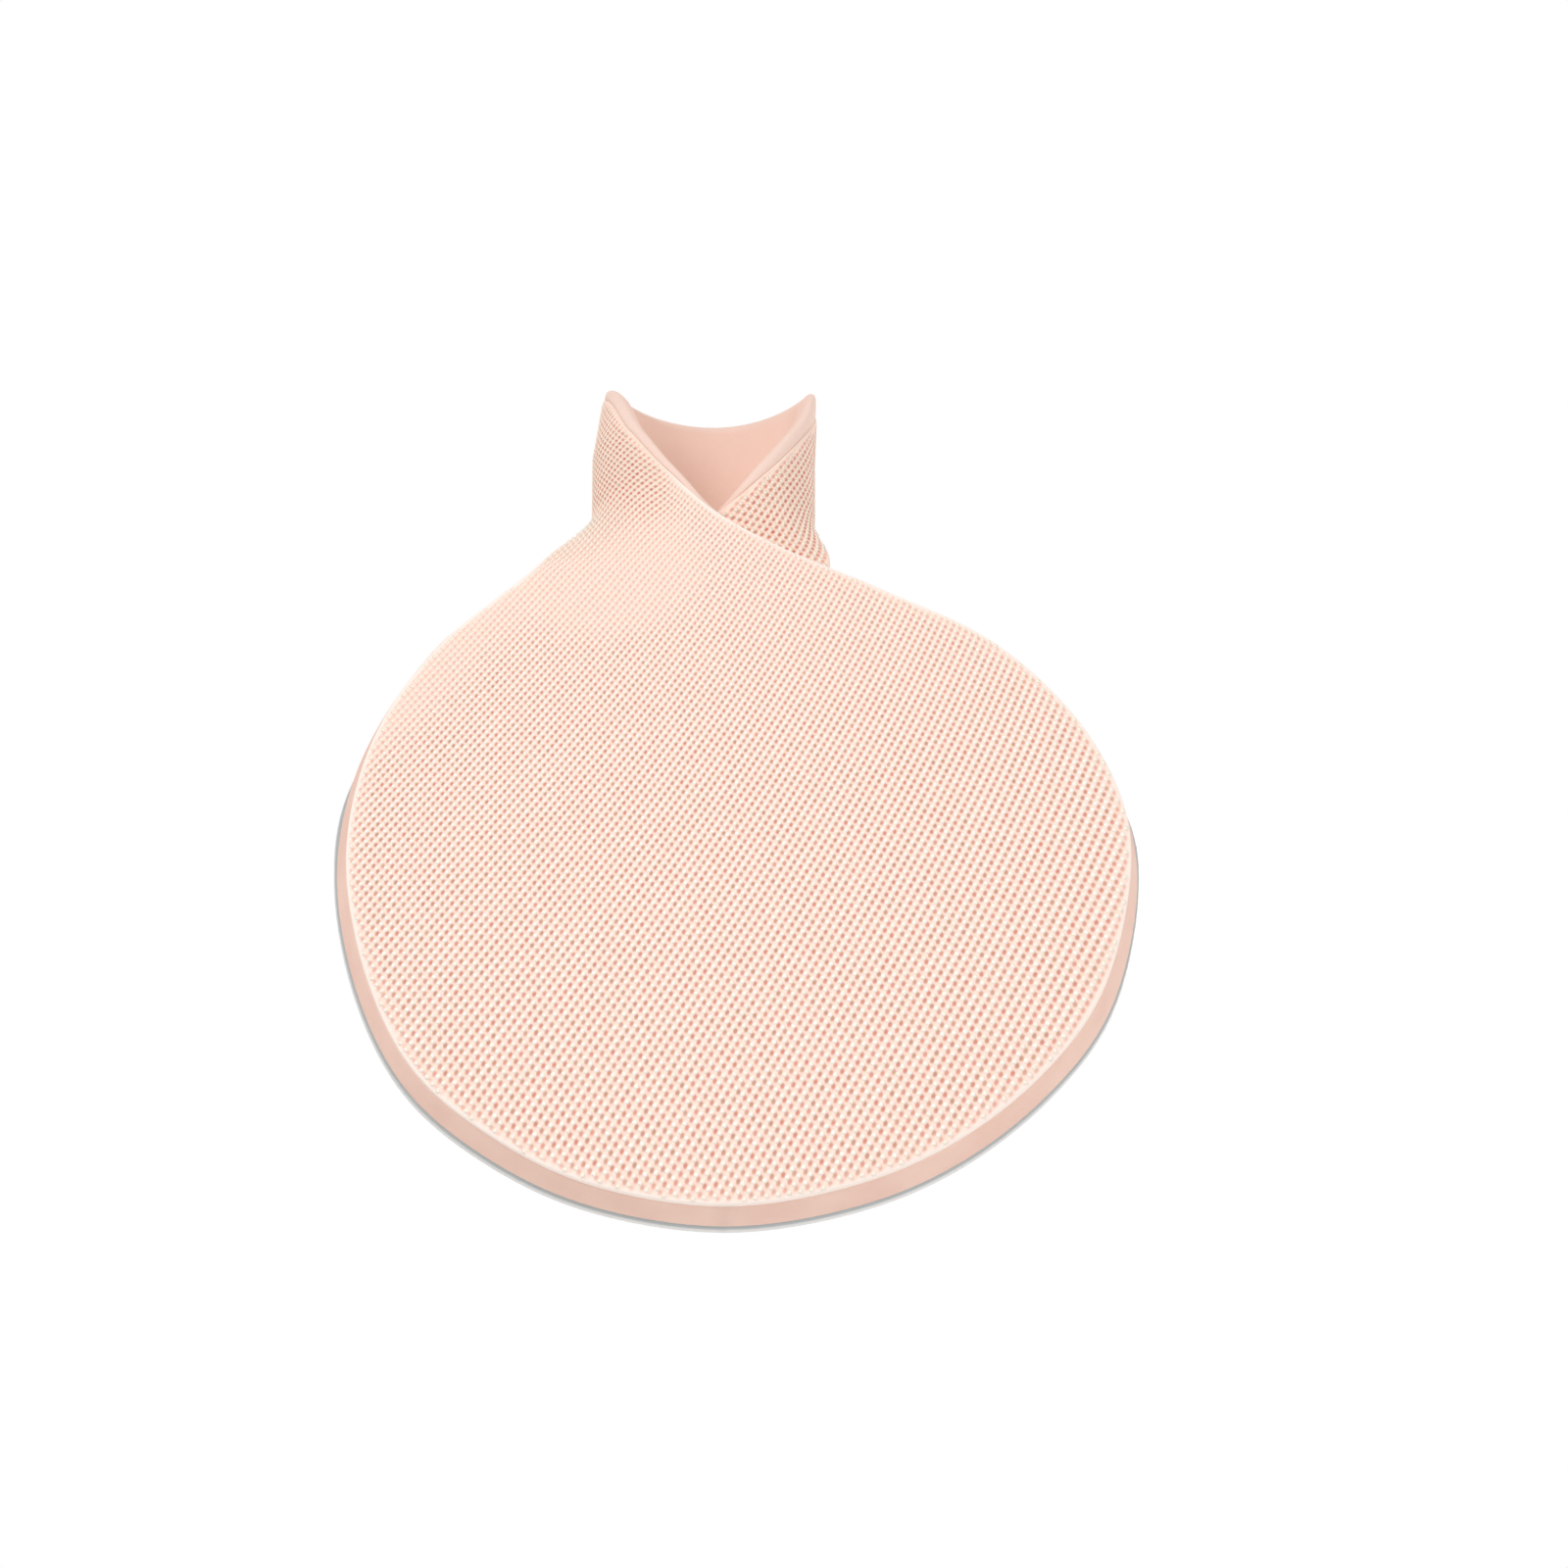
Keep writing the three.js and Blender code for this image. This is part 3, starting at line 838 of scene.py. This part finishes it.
gelRim = asProfile([
    (growBy(-0.45), gelDepth(0.0)),
    (growBy(-0.08), gelDepth(0.0)),
    (growBy(0.08), gelDepth(0.1)),
    (growBy(0.18), gelDepth(0.28)),
    (growBy(gelShow), gelDepth(0.5)),
    (growBy(gelShow), gelDepth(0.72)),
    (growBy(0.18), gelDepth(0.88)),
    (growBy(0.04), gelDepth(0.97)),
    (growBy(-0.25), gelDepth(1.0)),
])


def gelValues(flat, depth):
    # layer is 0 on the foam's side and 1 on the inner face, and carries the gel from a painted shadow
    # grey to a painted highlight white
    top = clothWall + cushion["layerGap"] + foamWall(flat[..., 1])
    return {"layer": (depth - top) / (gelWall + cushion["layerGap"])}


gelSheet = layerMesh(
    "gel_sheet",
    gelRows,
    gelRim,
    lambda w, outer: gelDepth(0.0 if outer else 1.0)(0 * w, w),
    gelValues,
)
gelSheet.data.materials.append(gelMaterial())
print("gel sheet made")


# The stitches: one raised cream loop in each cell of the knit

def stitchPlaces(batch=500):
    # Starts each stitch at the nearest of many points of the pattern, and steps from there to the
    # stitch's own place in its cell
    sides = stationsOf(wholeRows, edgeSteps)
    across = np.linspace(0, 1, knit["searchColumns"])[None, :, None]
    seen = sides[0]["edge"][:, None, :] * (1 - across) + sides[1]["edge"][:, None, :] * across
    seen = seen.reshape(-1, 2)
    seenCells = np.stack(knitCells(seen[:, 0], seen[:, 1]), -1)
    around = [seenCells + [i, j] for i in (-1, 0, 1) for j in (-1, 0, 1)]
    taken = np.unique(np.floor(np.concatenate(around)), axis=0)
    wanted = taken + knit["stitchAt"]
    flat = np.empty_like(wanted)
    for first in range(0, len(wanted), batch):
        gap = ((wanted[first : first + batch, None, :] - seenCells[None]) ** 2).sum(-1)
        flat[first : first + batch] = seen[gap.argmin(1)]
    for _ in range(knit["searchRounds"]):
        here = np.stack(knitCells(flat[:, 0], flat[:, 1]), -1)
        toU = (np.stack(knitCells(flat[:, 0] + nudge, flat[:, 1]), -1) - here) / nudge
        toW = (np.stack(knitCells(flat[:, 0], flat[:, 1] + nudge), -1) - here) / nudge
        area = toU[:, 0] * toW[:, 1] - toW[:, 0] * toU[:, 1]
        off = wanted - here
        change = np.stack([
            (off[:, 0] * toW[:, 1] - off[:, 1] * toW[:, 0]) / area,
            (off[:, 1] * toU[:, 0] - off[:, 0] * toU[:, 1]) / area,
        ], -1)
        flat += np.clip(change, -knit["searchStep"], knit["searchStep"])
    rowStep = np.stack([-toW[:, 0], toU[:, 0]], -1) / area[:, None]  # one row on, along a column
    columnStep = np.stack([toW[:, 1], -toU[:, 1]], -1) / area[:, None]
    found = np.abs(wanted - here).max(1) < knit["searchMiss"]
    inset = edgeDistance(flat, wholeOutline)
    onStrap = strapShare(flat[:, 0], flat[:, 1])
    keep = found & (inset > knit["stitchMargin"] + knit["strapMargin"] * onStrap)
    drawn = drawnAndHighlightShare(flat[:, 0], flat[:, 1], inset)
    rise = (1 - (1 - knit["strapRise"]) * onStrap) * (1 - (1 - knit["drawnRise"]) * drawn)
    rise *= 1 - (1 - knit["edgeRise"]) * smooth(1 - inset / knit["edgeReach"])
    return flat[keep], rowStep[keep], columnStep[keep], rise[keep]


def unit(vectors):
    return vectors / np.linalg.norm(vectors, axis=-1, keepdims=True)


def stitchPoints(name, flat, rowStep, columnStep, rise, share=0.1):
    # One point for each stitch, with its directions, its cell's size and how high it stands
    def at(points, depth):
        return bend(points[:, 0], points[:, 1], depth + 0 * points[:, 0])

    place = at(flat, 0.0)
    rowRun = (at(flat + rowStep * share, 0.0) - place) / share
    columnRun = (at(flat + columnStep * share, 0.0) - place) / share
    outward = unit(at(flat, -share) - place)
    along = unit(rowRun)
    lengths = np.minimum(np.linalg.norm(rowRun, axis=1), knit["longestRow"])
    widths = np.linalg.norm(np.cross(columnRun, along), axis=1)
    mesh = bpy.data.meshes.new(name)
    mesh.from_pydata((place * mm).tolist(), [], [])
    for key, values in (("outward", outward), ("along", along)):
        mesh.attributes.new(key, "FLOAT_VECTOR", "POINT").data.foreach_set("vector", values.reshape(-1))
    for key, values in (("rowLength", lengths * mm), ("columnWidth", widths * mm), ("rise", rise)):
        mesh.attributes.new(key, "FLOAT", "POINT").data.foreach_set("value", values)
    piece = bpy.data.objects.new(name, mesh)
    bpy.context.collection.objects.link(piece)
    return piece


def stitchTree(material):
    tree = bpy.data.node_groups.new("knit stitches", "GeometryNodeTree")
    sizeSockets = {name: "Float" for name in ("Length", "Width", "Height", "Spread")}
    groupSockets(tree, {"Geometry": "Geometry", **sizeSockets, "Seed": "Int"}, {"Geometry": "Geometry"})
    source = addNode(tree, "NodeGroupInput", (-1200, 0))
    result = addNode(tree, "NodeGroupOutput", (1000, 0))
    link = tree.links.new

    def named(name, kind, place):
        node = addNode(tree, "GeometryNodeInputNamedAttribute", place, data_type=kind)
        node.inputs["Name"].default_value = name
        return node.outputs["Attribute"]

    def scaledBy(name, socket, y):
        value = named(name, "FLOAT", (-900, y))
        return mathNode(tree, "MULTIPLY", value, source.outputs[socket], (-700, y))

    axes = {"primary_axis": "Z", "secondary_axis": "Y"}
    turnTo = addNode(tree, "FunctionNodeAxesToRotation", (-500, -300), **axes)
    link(named("outward", "FLOAT_VECTOR", (-900, -250)), turnTo.inputs[0])
    link(named("along", "FLOAT_VECTOR", (-900, -400)), turnTo.inputs[1])
    chance = addNode(tree, "FunctionNodeRandomValue", (-900, -600), data_type="FLOAT")
    link(source.outputs["Seed"], chance.inputs["Seed"])
    swell = mathNode(tree, "MULTIPLY_ADD", chance.outputs[1], source.outputs["Spread"], (-700, -600))
    swell.node.inputs[2].default_value = 1.0
    sizes = addNode(tree, "ShaderNodeCombineXYZ", (-300, -500))
    wide = scaledBy("columnWidth", "Width", -750)
    tall = scaledBy("rowLength", "Length", -900)
    link(mathNode(tree, "MULTIPLY", wide, swell, (-500, -700)), sizes.inputs[0])
    link(mathNode(tree, "MULTIPLY", tall, swell, (-500, -850)), sizes.inputs[1])
    link(scaledBy("rise", "Height", -1050), sizes.inputs[2])
    loop = addNode(tree, "GeometryNodeMeshIcoSphere", (-500, 300))
    loop.inputs["Radius"].default_value = 1.0
    loop.inputs["Subdivisions"].default_value = 1
    soft = addNode(tree, "GeometryNodeSetShadeSmooth", (-300, 300))
    link(loop.outputs[0], soft.inputs["Geometry"])
    onPoints = addNode(tree, "GeometryNodeInstanceOnPoints", (0, 0))
    link(source.outputs["Geometry"], onPoints.inputs["Points"])
    link(soft.outputs[0], onPoints.inputs["Instance"])
    link(turnTo.outputs[0], onPoints.inputs["Rotation"])
    link(sizes.outputs[0], onPoints.inputs["Scale"])
    perStitch = {"data_type": "FLOAT", "domain": "INSTANCE"}
    tone = addNode(tree, "GeometryNodeStoreNamedAttribute", (250, 0), **perStitch)
    tone.inputs["Name"].default_value = "tone"
    link(onPoints.outputs[0], tone.inputs["Geometry"])
    chanceTone = addNode(tree, "FunctionNodeRandomValue", (0, -300), data_type="FLOAT")
    chanceTone.inputs["Seed"].default_value = knit["toneSeed"]
    link(chanceTone.outputs[1], tone.inputs["Value"])
    real = addNode(tree, "GeometryNodeRealizeInstances", (500, 0))
    link(tone.outputs[0], real.inputs[0])
    painted = addNode(tree, "GeometryNodeSetMaterial", (750, 0))
    painted.inputs["Material"].default_value = material
    link(real.outputs[0], painted.inputs["Geometry"])
    link(painted.outputs[0], result.inputs["Geometry"])
    return tree


def grow(piece, tree, values):
    # Runs the tree on a piece and keeps its result as a plain mesh
    modifier = piece.modifiers.new("knit", "NODES")
    modifier.node_group = tree
    for item in tree.interface.items_tree:
        if item.in_out == "INPUT" and item.name in values:
            modifier[item.identifier] = values[item.name]
    points = piece.data
    bpy.context.view_layer.update()
    evaluated = piece.evaluated_get(bpy.context.evaluated_depsgraph_get())
    mesh = bpy.data.meshes.new_from_object(evaluated)
    piece.modifiers.remove(modifier)
    mesh.name = piece.name
    piece.data = mesh
    bpy.data.meshes.remove(points)


stitchNodes = stitchTree(stitchMaterial())
flatAt, rowSteps, columnSteps, rises = stitchPlaces()
onPad = (flatAt[:, 1] < knit["padStitchesBelow"] * neckDrop) & (flatAt[:, 0] > -turn / 2)
stitchPieces = []
for name, chosen in (("pad_stitches", onPad), ("strap_stitches", ~onPad)):
    piece = stitchPoints(name, flatAt[chosen], rowSteps[chosen], columnSteps[chosen], rises[chosen])
    grow(piece, stitchNodes, {
        "Length": knit["stitchLength"],
        "Width": knit["stitchWidth"],
        "Height": knit["stitchHeight"] * mm,
        "Spread": knit["spread"],
        "Seed": knit["seed"],
    })
    stitchPieces.append(piece)
    print(name, "made with", int(chosen.sum()), "stitches,", len(piece.data.polygons), "faces")


# Each piece goes under the root body, and the CAD part that it stands for is hidden

padStitches, strapStitches = stitchPieces
for piece, node, slot in (
    (knitFace, "knit_cover", "knit"),
    (padStitches, "knit_cover", "knit"),
    (strapStitches, "knit_cover", "knit"),
    (foamBody, "foam_backing", "foam"),
    (gelSheet, "gel_layer", "gel"),
):
    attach(piece, "root")
    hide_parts(node)


# Camera, lights and floor

view = {
    "elevation": -19.3,
    "azimuth": -3.0,
    "distance": 0.7,
    "pixelsPerMm": 11.0,
    "originAt": (722, 475),
    "frameSize": 1600,
}


def makeCamera():
    tilt, turnBy = math.radians(view["elevation"]), math.radians(view["azimuth"])
    level = math.cos(tilt)
    forward = Vector((-math.sin(turnBy) * level, math.cos(turnBy) * level, -math.sin(tilt)))
    right = forward.cross(Vector((0, 0, 1))).normalized()
    up = right.cross(forward)
    middle, perMetre = view["frameSize"] / 2, view["pixelsPerMm"] / mm
    across, upwards = view["originAt"]
    target = right * ((middle - across) / perMetre) + up * ((upwards - middle) / perMetre)
    data = bpy.data.cameras.new("camera")
    data.sensor_width = 36.0
    data.lens = data.sensor_width * view["distance"] * perMetre / view["frameSize"]
    camera = bpy.data.objects.new("camera", data)
    camera.location = target - forward * view["distance"]
    camera.rotation_euler = forward.to_track_quat("-Z", "Y").to_euler()
    bpy.context.collection.objects.link(camera)
    bpy.context.scene.camera = camera


makeCamera()

studio = {
    "floorLevel": -0.32,
    "floorSize": 3.0,
    "floorColour": (0.9, 0.9, 0.9, 1.0),
    "floorRoughness": 0.9,
    "worldLight": 0.565,
    "worldSeen": 1.0,
    "lightsLookAt": (0.0, 0.0, -0.03),
    "lights": {  # place, size and power
        "key": ((-0.62, -0.66, 0.46), 0.5, 4.5),
        "fill": ((0.85, -0.55, 0.1), 0.8, 3.0),
        "back": ((0.2, 0.8, 0.5), 0.7, 3.4),
    },
}


def addLight(name, place, size, power):
    data = bpy.data.lights.new(name, "AREA")
    data.energy = power
    data.size = size
    lamp = bpy.data.objects.new(name, data)
    lamp.location = place
    towards = Vector(studio["lightsLookAt"]) - Vector(place)
    lamp.rotation_euler = towards.to_track_quat("-Z", "Y").to_euler()
    bpy.context.collection.objects.link(lamp)


for name, values in studio["lights"].items():
    addLight(name, *values)

world = bpy.data.worlds.new("studio")
world.use_nodes = True
sky = world.node_tree
backdrop = sky.nodes["Background"]
backdrop.inputs["Color"].default_value = (1.0, 1.0, 1.0, 1.0)
seen = addNode(sky, "ShaderNodeLightPath", (-400, 0))
level = addNode(sky, "ShaderNodeMapRange", (-200, 0))  # white where it is seen, softer as a light
level.inputs["To Min"].default_value = studio["worldLight"]
level.inputs["To Max"].default_value = studio["worldSeen"]
sky.links.new(seen.outputs["Is Camera Ray"], level.inputs["Value"])
sky.links.new(level.outputs[0], backdrop.inputs["Strength"])
bpy.context.scene.world = world
bpy.context.scene.view_settings.view_transform = "Standard"

half = studio["floorSize"] / 2
floorMesh = bpy.data.meshes.new("floor")
floorMesh.from_pydata(
    [(x * half, y * half, studio["floorLevel"]) for x, y in ((-1, -1), (1, -1), (1, 1), (-1, 1))],
    [],
    [(0, 1, 2, 3)],
)
floor = bpy.data.objects.new("floor", floorMesh)
bpy.context.collection.objects.link(floor)
floorLook, _, floorShader = newMaterial("pale floor")
floorShader.inputs["Base Color"].default_value = studio["floorColour"]
floorShader.inputs["Roughness"].default_value = studio["floorRoughness"]
floorMesh.materials.append(floorLook)
